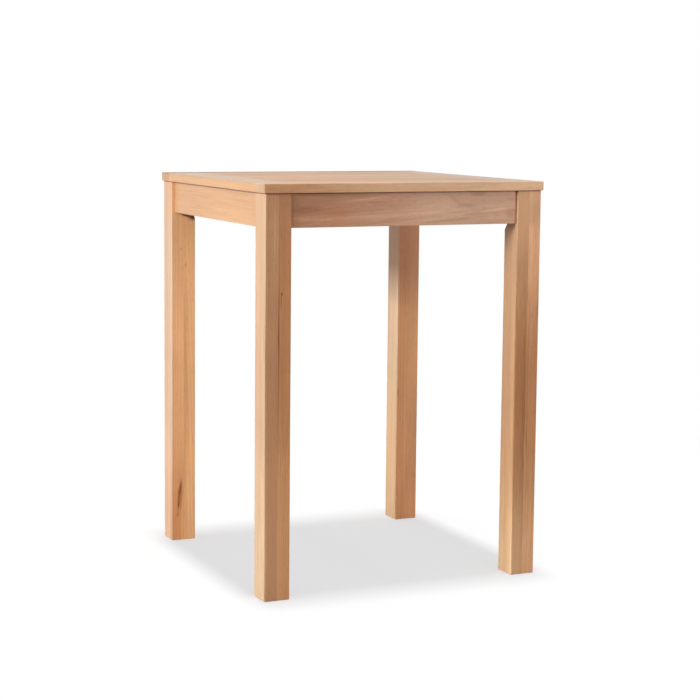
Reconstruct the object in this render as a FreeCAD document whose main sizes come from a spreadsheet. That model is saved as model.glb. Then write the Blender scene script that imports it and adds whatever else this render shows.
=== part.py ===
import FreeCAD, Part
import Sketcher
import os
import re

# An outdoor bar table of solid hardwood. Its slatted top lies in a flat frame on four aprons, and hanger
# bolts hold its four square legs to corner blocks inside the aprons.
# X runs along the front from left to right, Y from front to back and Z up, in millimetres.
# The origin is on the floor under the middle of the top.

SIZES = {
    # Whole table
    "table_width": 800,
    "table_depth": 800,
    "table_height": 1067,
    # Top: two rails, two stiles tongued into them, and slats tongued into the stiles
    "top_thick": 24,
    "rail_width": 65,
    "stile_width": 90,
    "slat_gap": 4,
    "tongue_thick": 8,
    "tongue_shoulder": 12,
    "stile_tongue": 25,
    "slat_tongue": 14,
    "mortise_spare": 1,
    "top_round": 2,
    "slat_round": 1.5,
    "joint_round": 0.5,
    # Legs: each is two staves, glued face to face
    "leg_side": 70,
    "leg_inset": 5,
    "leg_round": 1.5,
    "leg_corner_cut": 16,
    "cut_runout": 21,
    # Aprons
    "apron_depth": 88,
    "apron_thick": 22,
    "apron_recess": 8,
    "apron_round": 1.5,
    # Corner blocks
    "block_thick": 28,
    "block_tall": 70,
    "block_gap": 3,
    "block_seat": 14,
    # Cleats under the frame and batten under the slats
    "cleat_side": 22,
    "cleat_gap": 10,
    "batten_width": 60,
    "batten_thick": 22,
    # Hanger bolts, with their washers and nuts
    "bolt_across": 8,
    "bolt_long": 80,
    "bolt_apart": 36,
    "bolt_past_nut": 4,
    "bolt_taper": 9,
    "bolt_point": 2,
    "bolt_bevel": 1,
    "bolt_hole": 9,
    "washer_across": 24,
    "washer_thick": 2,
    "nut_across": 13,
    "nut_thick": 6.5,
    "nut_bevel": 0.6,
    # Countersunk screws of the cleats and the batten
    "screw_across": 4,
    "screw_long": 35,
    "screw_head": 8,
    "screw_taper": 6,
    # Pan head screws of the corner blocks
    "block_screw_across": 5,
    "block_screw_long": 30,
    "block_screw_head": 10,
    "block_screw_head_tall": 3.4,
    "block_screw_head_bevel": 1.2,
    "block_screw_apart": 40,
    "block_screw_bore": 11,
    # Cross recess in every screw head
    "drive_across": 4.4,
    "drive_slot": 1,
    "drive_deep": 1.6,
    # Room round a bolt or screw in its hole, room past its tip, and how far a cut runs past a face
    "hole_ease": 0.1,
    "hole_spare": 1,
    "overrun": 5,
}
SLAT_COUNT = 7

# Where the screws stand along a cleat, as shares of its length from its middle
UP_SCREW_SHARES = (-0.36, 0.36)
SIDE_SCREW_SHARES = (-0.14, 0.14)

# How closely an edge lies on a face to be chosen for rounding, as a share of the leg's side
NEAR_SHARE = 0.0001

# Sizes worked out from the others
UNDERSIDE = "(table_height - top_thick)"
APRON_BACK = "(leg_inset + apron_recess + apron_thick)"
LEG_PROUD = "(leg_side - apron_recess - apron_thick)"
SLAT_LONG = "(table_width - 2 * stile_width)"
SLAT_WIDE = f"((table_depth - 2 * rail_width - {SLAT_COUNT + 1} * slat_gap) / {SLAT_COUNT})"
TONGUE_LOW = "((top_thick - tongue_thick) / 2)"

# Along an apron, from where the inner faces of two aprons would meet, to the two faces of a corner block
BLOCK_NEAR = f"(2 * {LEG_PROUD} - leg_corner_cut + block_gap * sqrt(2))"
BLOCK_FAR = f"({BLOCK_NEAR} + block_thick * sqrt(2))"
BLOCK_MIDDLE = f"({BLOCK_NEAR} / 2 + {BLOCK_FAR} / 2)"
BLOCK_SCREW_HEIGHTS = [f"(block_tall / 2 {sign} block_screw_apart / 2)" for sign in "-+"]

# The holes that a screw of each kind turns in
SCREW_HOLE = "screw_across + 2 * hole_ease"
BLOCK_SCREW_HOLE = "block_screw_across + 2 * hole_ease"

# Along a hanger bolt, from the leg's inner corner to the bolt's outer end
BOLT_OUT = "(block_gap + block_thick + washer_thick + nut_thick + bolt_past_nut - leg_corner_cut / sqrt(2))"
BOLT_HEIGHTS = [f"(block_tall / 2 {sign} bolt_apart / 2)" for sign in "-+"]

UP = (0, 0, 1)

doc = FreeCAD.newDocument("bar_table")
sheet = doc.addObject("Spreadsheet::Sheet", "sizes")
nodes = []


def write_sheet():
    """Put each size in its own cell of the spreadsheet, under its name."""
    for row, (name, value) in enumerate(SIZES.items(), 1):
        sheet.set(f"A{row}", str(value))
        sheet.setAlias(f"A{row}", name)
    doc.recompute()


def formula(text):
    """Write the sizes named in a formula the way the document reads them."""
    def cell(word):
        return f"sizes.{word.group()}" if word.group() in SIZES else word.group()

    return re.sub(r"[a-z]\w+", cell, text)


def number(text):
    """Work a formula out."""
    return float(sheet.evalExpression(formula(text)))


def place(thing, x, y, z, quarter=0):
    """Stand a piece at a place worked out by formulas, turned about the vertical by some quarter turns."""
    thing.Placement = FreeCAD.Placement(FreeCAD.Vector(), FreeCAD.Rotation(90 * quarter, 0, 0))
    for axis, size in zip("xyz", (x, y, z)):
        thing.setExpression(f"Placement.Base.{axis}", formula(size))


def aim(thing, x, y, z, start, points):
    """Stand a piece at a place, with the direction it was drawn in turned to the way it points."""
    place(thing, x, y, z)
    turn = FreeCAD.Rotation(FreeCAD.Vector(*start), FreeCAD.Vector(*points))
    thing.Placement = FreeCAD.Placement(thing.Placement.Base, turn)


def quarter_turned(quarter, x, y):
    """Turn a place on the plan about the table's middle by some quarter turns to the left."""
    return [(x, y), (f"-({y})", x), (f"-({x})", f"-({y})"), (y, f"-({x})")][quarter]


# Drawing and features

def new_body(label):
    """Start a piece of the table that becomes a node."""
    body = doc.addObject("PartDesign::Body", label)
    nodes.append(body)
    return body


def new_sketch(body, name, lift="0", role="XY_Plane", turn=FreeCAD.Rotation()):
    """Start a sketch on one of the body's own planes, lifted off it along the plane's normal or turned."""
    sketch = body.newObject("Sketcher::SketchObject", name)
    plane = next(feature for feature in body.Origin.OriginFeatures if feature.Role == role)
    sketch.AttachmentSupport = (plane, [""])
    sketch.MapMode = "FlatFace"
    sketch.AttachmentOffset = FreeCAD.Placement(FreeCAD.Vector(), turn)
    sketch.setExpression("AttachmentOffset.Base.z", formula(lift))
    return sketch


def pin(sketch, shape, point, x, y):
    """Hold one point of a sketched line or circle at a place measured from the sketch's origin."""
    for kind, size in (("DistanceX", x), ("DistanceY", y)):
        constraint = sketch.addConstraint(Sketcher.Constraint(kind, -1, 1, shape, point, number(size)))
        sketch.setExpression(f"Constraints[{constraint}]", formula(size))


def draw_loop(sketch, points):
    """Draw a closed loop of lines whose ends meet, and give the index of its first line."""
    first = sketch.GeometryCount
    corners = [FreeCAD.Vector(number(x), number(y), 0) for x, y in points]
    for start, end in zip(corners, corners[1:] + corners[:1]):
        sketch.addGeometry(Part.LineSegment(start, end), False)
    for index in range(len(points)):
        following = (index + 1) % len(points)
        sketch.addConstraint(Sketcher.Constraint("Coincident", first + index, 2, first + following, 1))
    return first


def draw_outline(sketch, points):
    """Draw a closed outline with every corner held at its own place."""
    first = draw_loop(sketch, points)
    for index, (x, y) in enumerate(points):
        pin(sketch, first + index, 1, x, y)


def draw_rectangle(sketch, left, near, right, far):
    """Draw an upright rectangle held at two opposite corners."""
    first = draw_loop(sketch, [(left, near), (right, near), (right, far), (left, far)])
    for index in (0, 2):
        sketch.addConstraint(Sketcher.Constraint("Horizontal", first + index))
        sketch.addConstraint(Sketcher.Constraint("Vertical", first + index + 1))
    pin(sketch, first, 1, left, near)
    pin(sketch, first + 2, 1, right, far)


def draw_circle(sketch, x, y, across):
    """Draw a circle held by its centre and its diameter."""
    middle = FreeCAD.Vector(number(x), number(y), 0)
    circle = sketch.addGeometry(Part.Circle(middle, FreeCAD.Vector(*UP), number(across) / 2), False)
    pin(sketch, circle, 3, x, y)
    constraint = sketch.addConstraint(Sketcher.Constraint("Diameter", circle, number(across)))
    sketch.setExpression(f"Constraints[{constraint}]", formula(across))


def pad(body, name, sketch, thick):
    """Raise a sketch upwards into solid wood or metal."""
    feature = body.newObject("PartDesign::Pad", name)
    feature.Profile = sketch
    feature.setExpression("Length", formula(thick))
    return feature


def pocket(body, name, sketch, deep, along_normal=True):
    """Cut a sketch into the body, along its plane's normal or against it."""
    feature = body.newObject("PartDesign::Pocket", name)
    feature.Profile = sketch
    feature.Reversed = along_normal
    feature.setExpression("Length", formula(deep))
    return feature


def drill(body, name, across, deep, x, y, z, points):
    """Drill a flat-bottomed round hole that starts at a place and runs the way it points."""
    feature = body.newObject("PartDesign::SubtractiveCylinder", name)
    feature.setExpression("Radius", formula(f"({across}) / 2"))
    feature.setExpression("Height", formula(deep))
    aim(feature, x, y, z, UP, points)


def countersink(body, name, sketch):
    """Drill a through hole at each circle of a sketch, with a seat for a screw's cone."""
    doc.recompute()
    feature = body.newObject("PartDesign::Hole", name)
    feature.Profile = sketch
    doc.recompute()
    feature.ThreadType = 0
    feature.DepthType = "ThroughAll"
    feature.HoleCutType = "Countersink"
    feature.HoleCutCustomValues = True
    feature.HoleCutCountersinkAngle = 90
    feature.Reversed = True
    feature.setExpression("Diameter", formula(SCREW_HOLE))
    feature.setExpression("HoleCutDiameter", formula("screw_head"))


def round_edges(body, name, radius, chosen):
    """Round the edges of a body whose middles pass a test."""
    doc.recompute()
    before = body.Tip
    names = [f"Edge{index}" for index, edge in enumerate(before.Shape.Edges, 1) if chosen(edge.CenterOfMass)]
    feature = body.newObject("PartDesign::Fillet", name)
    feature.Base = (before, names)
    feature.setExpression("Radius", formula(radius))


def turn_on_lathe(body, points):
    """Turn an outline, drawn as radius and height, about the vertical."""
    sketch = new_sketch(body, f"{body.Name}_Profile", role="XZ_Plane")
    draw_outline(sketch, points)
    feature = body.newObject("PartDesign::Revolution", f"{body.Name}_Turned")
    feature.Profile = sketch
    feature.ReferenceAxis = (sketch, ["V_Axis"])
    feature.Angle = 360


# Places along one side of the table, measured from its middle

def apron_half(span):
    """Half the length of the apron on a side."""
    return f"({span} / 2 - leg_inset - leg_side)"


def cleat_near():
    """Where a cleat starts, clear of the batten."""
    return "(batten_width / 2 + cleat_gap)"


def cleat_far(span):
    """Where a cleat ends, clear of the corner block."""
    return f"({apron_half(span)} - {BLOCK_FAR} + {LEG_PROUD} - cleat_gap)"


def cleat_middle(span):
    """The middle of a cleat."""
    return f"({cleat_far(span)} / 2 + {cleat_near()} / 2)"


def cleat_long(span):
    """The length of a cleat."""
    return f"({cleat_far(span)} - {cleat_near()})"


def cleat_screw_places(span, shares):
    """Places of the screws through both cleats of a side."""
    return [f"({end} * {cleat_middle(span)} + {share} * {cleat_long(span)})"
            for end in (-1, 1) for share in shares]


# Top

def frame_board(label, quarter, long, wide, span, reach):
    """Make the plain board of a rail or stile, lying along X with its outer edge at the front."""
    board = new_body(label)
    place(board, *quarter_turned(quarter, "0", f"-({reach} / 2 - {wide} / 2)"), UNDERSIDE, quarter)
    sketch = new_sketch(board, f"{label}_Face")
    draw_rectangle(sketch, f"-{long} / 2", f"-{wide} / 2", f"{long} / 2", f"{wide} / 2")
    pad(board, f"{label}_Board", sketch, "top_thick")
    return board


def cleat_screw_holes(board, wide, span):
    """Drill a frame board from below for the screws that come up through the cleats."""
    for index, along in enumerate(cleat_screw_places(span, UP_SCREW_SHARES)):
        drill(board, f"{board.Name}_Pilot{index}", SCREW_HOLE, "screw_long - cleat_side + hole_spare",
              along, f"{APRON_BACK} + cleat_side / 2 - {wide} / 2", "0", UP)


def rail(label, quarter):
    """A rail of the top: full width, with a mortise near each end for a stile's tongue."""
    board = frame_board(label, quarter, "table_width", "rail_width", "table_width", "table_depth")
    half_long = number("table_width / 2")
    half_wide = number("rail_width / 2")
    near = number("leg_side") * NEAR_SHARE

    def outer(middle):
        on_end = abs(middle.x) > half_long - near and middle.y < half_wide - near
        return on_end or middle.y < near - half_wide

    def inner_top(middle):
        return middle.y > half_wide - near and middle.z > near and abs(middle.x) < near

    round_edges(board, f"{label}_Round", "top_round", outer)
    round_edges(board, f"{label}_Arris", "joint_round", inner_top)
    sketch = new_sketch(board, f"{label}_MortisePlan", TONGUE_LOW)
    mortise_floor = "rail_width / 2 - stile_tongue - mortise_spare"
    for end in (-1, 1):
        draw_rectangle(sketch, f"{end} * (table_width / 2 - tongue_shoulder)", mortise_floor,
                       f"{end} * (table_width / 2 - stile_width + tongue_shoulder)",
                       "rail_width / 2 + overrun")
    pocket(board, f"{label}_Mortises", sketch, "tongue_thick")
    cleat_screw_holes(board, "rail_width", "table_width")
    drill(board, f"{label}_BattenPilot", SCREW_HOLE, "screw_long - batten_thick + hole_spare",
          "0", f"{APRON_BACK} / 2", "0", UP)


def stile(label, quarter):
    """A stile of the top: tongued into both rails, with a row of mortises for the slats' tongues."""
    long = "(table_depth - 2 * rail_width)"
    board = frame_board(label, quarter, long, "stile_width", "table_depth", "table_width")
    half_long = number(f"{long} / 2")
    half_wide = number("stile_width / 2")
    near = number("leg_side") * NEAR_SHARE

    def outer(middle):
        return middle.y < near - half_wide and abs(middle.x) < near

    def joint_top(middle):
        on_joint = abs(middle.x) > half_long - near or middle.y > half_wide - near
        return on_joint and middle.z > number("top_thick") - near

    round_edges(board, f"{label}_Round", "top_round", outer)
    round_edges(board, f"{label}_Arris", "joint_round", joint_top)
    sketch = new_sketch(board, f"{label}_TonguePlan", TONGUE_LOW)
    draw_rectangle(sketch, f"-{long} / 2 - stile_tongue", "tongue_shoulder - stile_width / 2",
                   f"{long} / 2 + stile_tongue", "stile_width / 2 - tongue_shoulder")
    pad(board, f"{label}_Tongues", sketch, "tongue_thick")
    sketch = new_sketch(board, f"{label}_MortisePlan", TONGUE_LOW)
    draw_rectangle(sketch, f"slat_gap + tongue_shoulder - {long} / 2",
                   "stile_width / 2 - slat_tongue - mortise_spare",
                   f"slat_gap + {SLAT_WIDE} - tongue_shoulder - {long} / 2", "stile_width / 2 + overrun")
    mortise = pocket(board, f"{label}_Mortise", sketch, "tongue_thick")
    row = board.newObject("PartDesign::LinearPattern", f"{label}_MortiseRow")
    row.Originals = [mortise]
    row.Direction = (sketch, ["H_Axis"])
    row.setExpression("Length", formula(f"{SLAT_COUNT - 1} * ({SLAT_WIDE} + slat_gap)"))
    row.Occurrences = SLAT_COUNT
    board.Tip = row
    cleat_screw_holes(board, "stile_width", "table_depth")


def slat_middle(index):
    """Where a slat's middle lies along Y, counted from the front."""
    return f"({index - (SLAT_COUNT - 1) / 2} * ({SLAT_WIDE} + slat_gap))"


def slat(index):
    """A slat of the top: along X between the stiles, with a tongue at each end and eased edges."""
    label = f"top_slat_{index + 1}"
    board = new_body(label)
    place(board, "0", slat_middle(index), UNDERSIDE)
    sketch = new_sketch(board, f"{label}_Face")
    draw_rectangle(sketch, f"-{SLAT_LONG} / 2", f"-{SLAT_WIDE} / 2", f"{SLAT_LONG} / 2", f"{SLAT_WIDE} / 2")
    pad(board, f"{label}_Board", sketch, "top_thick")
    near = number("leg_side") * NEAR_SHARE
    round_edges(board, f"{label}_Round", "slat_round", lambda middle: abs(middle.x) < near)
    sketch = new_sketch(board, f"{label}_TonguePlan", TONGUE_LOW)
    draw_rectangle(sketch, f"-{SLAT_LONG} / 2 - slat_tongue", f"tongue_shoulder - {SLAT_WIDE} / 2",
                   f"{SLAT_LONG} / 2 + slat_tongue", f"{SLAT_WIDE} / 2 - tongue_shoulder")
    pad(board, f"{label}_Tongues", sketch, "tongue_thick")
    drill(board, f"{label}_Pilot", SCREW_HOLE, "screw_long - batten_thick + hole_spare",
          "0", "0", "0", UP)


def batten():
    """The batten under the slats, from apron to apron, with one screw up into each board it crosses."""
    body = new_body("centre_batten")
    place(body, "0", "0", f"{UNDERSIDE} - batten_thick")
    sketch = new_sketch(body, "Batten_Face")
    half_long = f"(table_depth / 2 - {APRON_BACK})"
    draw_rectangle(sketch, "-batten_width / 2", f"-{half_long}", "batten_width / 2", half_long)
    pad(body, "Batten_Board", sketch, "batten_thick")
    rail_screw = f"(table_depth / 2 - rail_width / 2 - {APRON_BACK} / 2)"
    places = [slat_middle(index) for index in range(SLAT_COUNT)] + [f"-{rail_screw}", rail_screw]
    sketch = new_sketch(body, "Batten_ScrewPlan")
    for along in places:
        draw_circle(sketch, "0", along, "screw_across")
    countersink(body, "Batten_ScrewHoles", sketch)
    fasten("batten_screws", body, [(screw_master, "0", along, "0", UP) for along in places])


# Legs

def stave(label, side, end, outer):
    """Half a leg. Its inner corner is cut back behind the aprons, and the cut runs out below them."""
    body = new_body(label)
    place(body, f"{side} * (table_width / 2 - leg_inset - leg_side / 2)",
          f"{end} * (table_depth / 2 - leg_inset - leg_side / 2)", "0")
    face = side if outer else -side
    sketch = new_sketch(body, f"{label}_Section")
    draw_rectangle(sketch, "0", "-leg_side / 2", f"{face} * leg_side / 2", "leg_side / 2")
    pad(body, f"{label}_Stave", sketch, UNDERSIDE)
    near = number("leg_side") * NEAR_SHARE
    half = number("leg_side / 2")

    def open_edge(middle):
        on_foot = middle.z < near and abs(middle.x) > near
        return on_foot or (abs(middle.x) > half - near and abs(middle.y) > half - near)

    round_edges(body, f"{label}_Round", "leg_round", open_edge)
    corner = (f"{-side} * leg_side / 2", f"{-end} * leg_side / 2")
    if not outer:
        to_corner = FreeCAD.Rotation(FreeCAD.Vector(1, 0, 0), FreeCAD.Vector(-side, 0, end))
        sketch = new_sketch(body, f"{label}_CornerSlice", role="XZ_Plane", turn=to_corner)
        arris = "leg_side / sqrt(2)"
        cut_foot = f"{UNDERSIDE} - apron_depth"
        draw_outline(sketch, [(f"{arris} - leg_corner_cut / sqrt(2)", cut_foot),
                              (arris, f"{cut_foot} - cut_runout"),
                              (f"{arris} + overrun", f"{cut_foot} - cut_runout"),
                              (f"{arris} + overrun", f"{UNDERSIDE} + overrun"),
                              (f"{arris} - leg_corner_cut / sqrt(2)", f"{UNDERSIDE} + overrun")])
        cut = pocket(body, f"{label}_CornerCut", sketch, "leg_side")
        cut.SideType = "Symmetric"
    for index, height in enumerate(BOLT_HEIGHTS):
        drill(body, f"{label}_BoltHole{index}", "bolt_across + 2 * hole_ease",
              f"bolt_long - {BOLT_OUT} + hole_spare", *corner, f"{UNDERSIDE} - block_tall + {height}",
              (side, end, 0))


def leg(name, side, end):
    """A square leg, glued up from an outer and an inner stave."""
    stave(f"{name}_leg_outer_stave", side, end, True)
    stave(f"{name}_leg_inner_stave", side, end, False)


# Aprons, with the cleats on their inner faces

def apron(name, quarter, span, reach):
    """An apron between two legs, drilled inside for the screws of the corner blocks and cleats."""
    label = f"{name}_apron"
    board = new_body(label)
    place(board, *quarter_turned(quarter, "0", f"-({reach} / 2 - {APRON_BACK})"),
          f"{UNDERSIDE} - apron_depth", quarter)
    half_long = apron_half(span)
    sketch = new_sketch(board, f"{label}_Plan")
    draw_rectangle(sketch, f"-{half_long}", "-apron_thick", half_long, "0")
    pad(board, f"{label}_Board", sketch, "apron_depth")
    near = number("leg_side") * NEAR_SHARE
    round_edges(board, f"{label}_Round", "apron_round",
                lambda middle: middle.z < near and abs(middle.x) < near)
    block_screw = f"({half_long} - {BLOCK_MIDDLE} + {LEG_PROUD})"
    for end in (-1, 1):
        for index, height in enumerate(BLOCK_SCREW_HEIGHTS):
            drill(board, f"{label}_BlockPilot{index}", BLOCK_SCREW_HOLE,
                  "block_screw_long - block_seat + hole_spare", f"{end} * {block_screw}", "0",
                  f"apron_depth - block_tall + {height}", (0, -1, 0))
    for index, along in enumerate(cleat_screw_places(span, SIDE_SCREW_SHARES)):
        drill(board, f"{label}_CleatPilot{index}", SCREW_HOLE, "screw_long - cleat_side + hole_spare",
              along, "0", "apron_depth - cleat_side / 2", (0, -1, 0))
    up_screws = [(screw_master, along, "cleat_side / 2", "apron_depth - cleat_side", UP)
                 for along in cleat_screw_places(span, UP_SCREW_SHARES)]
    side_screws = [(screw_master, along, "cleat_side", "apron_depth - cleat_side / 2", (0, -1, 0))
                   for along in cleat_screw_places(span, SIDE_SCREW_SHARES)]
    fasten(f"{name}_cleat_screws", board, up_screws + side_screws)


def cleat(label, quarter, end, span, reach):
    """A cleat along an apron's top edge, with two holes up into the top and two into the apron."""
    body = new_body(label)
    place(body, *quarter_turned(quarter, f"{end} * {cleat_middle(span)}", f"-({reach} / 2 - {APRON_BACK})"),
          f"{UNDERSIDE} - cleat_side", quarter)
    half_long = f"({cleat_long(span)} / 2)"
    sketch = new_sketch(body, f"{label}_Plan")
    draw_rectangle(sketch, f"-{half_long}", "0", half_long, "cleat_side")
    pad(body, f"{label}_Bar", sketch, "cleat_side")
    sketch = new_sketch(body, f"{label}_UpPlan")
    for share in UP_SCREW_SHARES:
        draw_circle(sketch, f"{share} * {cleat_long(span)}", "cleat_side / 2", "screw_across")
    countersink(body, f"{label}_UpHoles", sketch)
    sketch = new_sketch(body, f"{label}_SidePlan", "-cleat_side", "XZ_Plane")
    for share in SIDE_SCREW_SHARES:
        draw_circle(sketch, f"{share} * {cleat_long(span)}", "cleat_side / 2", "screw_across")
    countersink(body, f"{label}_SideHoles", sketch)


# Corner blocks, with what fastens them and the legs

def corner_block(name, side, end, quarter):
    """A block across a corner, mitred to both aprons, with bolt holes and sunk screw holes."""
    body = new_body(f"{name}_corner_block")
    place(body, f"{side} * (table_width / 2 - {APRON_BACK})", f"{end} * (table_depth / 2 - {APRON_BACK})",
          f"{UNDERSIDE} - block_tall", quarter)
    sketch = new_sketch(body, f"{name}_BlockPlan")
    draw_outline(sketch, [(BLOCK_NEAR, "0"), (BLOCK_FAR, "0"), ("0", BLOCK_FAR), ("0", BLOCK_NEAR)])
    pad(body, f"{name}_Block", sketch, "block_tall")
    start = f"{BLOCK_FAR} / 2 + overrun / sqrt(2)"
    for index, height in enumerate(BOLT_HEIGHTS):
        drill(body, f"{name}_BoltHole{index}", "bolt_hole", "block_thick + 2 * overrun",
              start, start, height, (-1, -1, 0))
    mouth = f"({BLOCK_FAR} - {BLOCK_MIDDLE} + block_screw_bore)"
    for index, height in enumerate(BLOCK_SCREW_HEIGHTS):
        for x, y, points in ((BLOCK_MIDDLE, mouth, (0, -1, 0)), (mouth, BLOCK_MIDDLE, (-1, 0, 0))):
            drill(body, f"{name}_ScrewHole{index}", BLOCK_SCREW_HOLE, f"{mouth} + overrun",
                  x, y, height, points)
            drill(body, f"{name}_ScrewBore{index}", "block_screw_bore", f"{mouth} - block_seat",
                  x, y, height, points)
    block_screws = []
    for height in BLOCK_SCREW_HEIGHTS:
        block_screws.append((block_screw_master, BLOCK_MIDDLE, "block_seat", height, (0, -1, 0)))
        block_screws.append((block_screw_master, "block_seat", BLOCK_MIDDLE, height, (-1, 0, 0)))
    fasten(f"{name}_block_screws", body, block_screws)
    stacks = [("hanger_bolts", bolt_master, "washer_thick + nut_thick + bolt_past_nut"),
              ("bolt_washers", washer_master, "washer_thick"),
              ("bolt_nuts", nut_master, "washer_thick + nut_thick")]
    for kind, master, out in stacks:
        start = f"{BLOCK_FAR} / 2 + ({out}) / sqrt(2)"
        copies = [(master, start, start, height, (-1, -1, 0)) for height in BOLT_HEIGHTS]
        fasten(f"{name}_{kind}", body, copies)


def fasten(label, carrier, copies):
    """Make one node of identical fasteners, placed in the frame of the piece that carries them."""
    links = []
    for index, (master, x, y, z, points) in enumerate(copies):
        link = doc.addObject("App::Link", f"{label}_Copy{index}")
        link.LinkedObject = master
        aim(link, x, y, z, (0, 0, -1), points)
        links.append(link)
    group = doc.addObject("Part::Compound", label)
    group.Links = links
    group.setExpression("Placement", f"{carrier.Name}.Placement")
    nodes.append(group)


# One of each fastener, standing at the origin with its tip down, for the groups to copy

def cut_cross(body, height):
    """Cut the cross recess for the driver into a screw's head."""
    sketch = new_sketch(body, f"{body.Name}_Cross", height)
    wide = "drive_across / 2"
    thin = "drive_slot / 2"
    corners = [(wide, thin), (thin, thin), (thin, wide)]
    outline = []
    for quarter in range(4):
        outline += [quarter_turned(quarter, x, y) for x, y in corners]
    draw_outline(sketch, outline)
    pocket(body, f"{body.Name}_Recess", sketch, "drive_deep", False)


def make_screw():
    """A countersunk wood screw, its head flush with its origin."""
    body = doc.addObject("PartDesign::Body", "Screw")
    turn_on_lathe(body, [("0", "0"), ("screw_head / 2", "0"),
                         ("screw_across / 2", "screw_across / 2 - screw_head / 2"),
                         ("screw_across / 2", "screw_taper - screw_long"), ("0", "-screw_long")])
    cut_cross(body, "0")
    return body


def make_block_screw():
    """A pan head wood screw, its origin under its head."""
    body = doc.addObject("PartDesign::Body", "BlockScrew")
    turn_on_lathe(body, [("0", "block_screw_head_tall"),
                         ("block_screw_head / 2 - block_screw_head_bevel", "block_screw_head_tall"),
                         ("block_screw_head / 2", "block_screw_head_tall - block_screw_head_bevel"),
                         ("block_screw_head / 2", "0"), ("block_screw_across / 2", "0"),
                         ("block_screw_across / 2", "screw_taper - block_screw_long"),
                         ("0", "-block_screw_long")])
    cut_cross(body, "block_screw_head_tall")
    return body


def make_bolt():
    """A hanger bolt: machine thread at the top, wood thread and point at the bottom, as plain shanks."""
    body = doc.addObject("PartDesign::Body", "HangerBolt")
    turn_on_lathe(body, [("0", "0"), ("bolt_across / 2 - bolt_bevel", "0"),
                         ("bolt_across / 2", "-bolt_bevel"), ("bolt_across / 2", "bolt_taper - bolt_long"),
                         ("bolt_point / 2", "-bolt_long"), ("0", "-bolt_long")])
    return body


def make_washer():
    """A broad flat washer, its upper face at its origin."""
    body = doc.addObject("PartDesign::Body", "Washer")
    sketch = new_sketch(body, "Washer_Face", "-washer_thick")
    draw_circle(sketch, "0", "0", "washer_across")
    draw_circle(sketch, "0", "0", "bolt_hole")
    pad(body, "Washer_Ring", sketch, "washer_thick")
    return body


def make_nut():
    """A hexagon nut, its upper face at its origin."""
    body = doc.addObject("PartDesign::Body", "Nut")
    sketch = new_sketch(body, "Nut_Face", "-nut_thick")
    corners = [f"({60 * corner} deg)" for corner in range(6)]
    draw_outline(sketch, [(f"nut_across / sqrt(3) * cos{turn}", f"nut_across / sqrt(3) * sin{turn}")
                          for turn in corners])
    draw_circle(sketch, "0", "0", "bolt_across + 2 * hole_ease")
    feature = pad(body, "Nut_Hexagon", sketch, "nut_thick")
    doc.recompute()
    bevel = body.newObject("PartDesign::Chamfer", "Nut_Bevel")
    tops = [f"Edge{index}" for index, edge in enumerate(feature.Shape.Edges, 1)
            if len(edge.Vertexes) == 2 and edge.CenterOfMass.z > number("-nut_thick / 2")
            and edge.BoundBox.ZLength < number("nut_thick / 2")]
    bevel.Base = (feature, tops)
    bevel.setExpression("Size", formula("nut_bevel"))
    return body


def check_document():
    """Stop if any object failed, or if a node has no sound solid."""
    for item in doc.Objects:
        if "Invalid" in item.State or "Error" in item.State:
            raise RuntimeError(f"{item.Label} failed: {item.State}")
    for node in nodes:
        if node.Shape.isNull() or not node.Shape.isValid() or not node.Shape.Solids:
            raise RuntimeError(f"{node.Label} has no sound solid")


write_sheet()
screw_master = make_screw()
block_screw_master = make_block_screw()
bolt_master = make_bolt()
washer_master = make_washer()
nut_master = make_nut()

rail("top_front_rail", 0)
stile("top_right_stile", 1)
rail("top_back_rail", 2)
stile("top_left_stile", 3)
for number_of_slat in range(SLAT_COUNT):
    slat(number_of_slat)
batten()

# Sides and corners in turn, a quarter turn apart, starting from the front and the front left
SIDES = ["front", "right", "back", "left"]
CORNERS = ["front_left", "front_right", "back_right", "back_left"]
for quarter, side_name in enumerate(SIDES):
    span, reach = ("table_depth", "table_width") if quarter % 2 else ("table_width", "table_depth")
    apron(side_name, quarter, span, reach)
    for end in (-1, 1):
        neighbour = SIDES[(quarter + end) % len(SIDES)]
        cleat(f"{side_name}_{neighbour}_cleat", quarter, end, span, reach)
for quarter, corner_name in enumerate(CORNERS):
    side = -1 if corner_name.endswith("left") else 1
    end = -1 if corner_name.startswith("front") else 1
    leg(corner_name, side, end)
    corner_block(corner_name, side, end, quarter)

doc.recompute()
check_document()
os.makedirs("parts", exist_ok=True)
for node in nodes:
    node.Shape.exportStep(f"parts/{node.Label}.step")
print(f"{len(nodes)} nodes, {sum(len(node.Shape.Solids) for node in nodes)} solids")
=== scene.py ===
# A square, bar-height garden table in oiled hardwood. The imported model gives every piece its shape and
# place. This file gives each piece its own board of timber or its steel, then sets the table on a white
# studio floor under soft light. Lengths are metres: X along the front, Y from front to back, Z up.
import bpy
import math
from itertools import count
from mathutils import Euler, Matrix, Vector


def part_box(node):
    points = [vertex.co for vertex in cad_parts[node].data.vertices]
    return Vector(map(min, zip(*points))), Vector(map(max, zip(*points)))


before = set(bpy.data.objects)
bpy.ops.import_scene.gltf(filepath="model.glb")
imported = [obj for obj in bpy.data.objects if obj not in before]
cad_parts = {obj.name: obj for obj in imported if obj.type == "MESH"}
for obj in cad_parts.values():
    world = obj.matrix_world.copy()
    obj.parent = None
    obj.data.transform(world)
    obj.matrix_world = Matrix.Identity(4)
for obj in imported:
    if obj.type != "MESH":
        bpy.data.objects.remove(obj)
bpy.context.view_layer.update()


# Leg staves
# Each leg is a square post glued up from two staves of planed hardwood, one outer and one inner, and bolted
# to a corner block. The timber has a straight, fine grain with faint growth rings, brown pores and the odd
# small knot, and is oiled.

def feed_socket(tree, socket, feed):
    """Links another node's output to a socket, or sets the socket's own value."""
    if isinstance(feed, bpy.types.NodeSocket):
        tree.links.new(feed, socket)
    else:
        socket.default_value = feed


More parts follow.
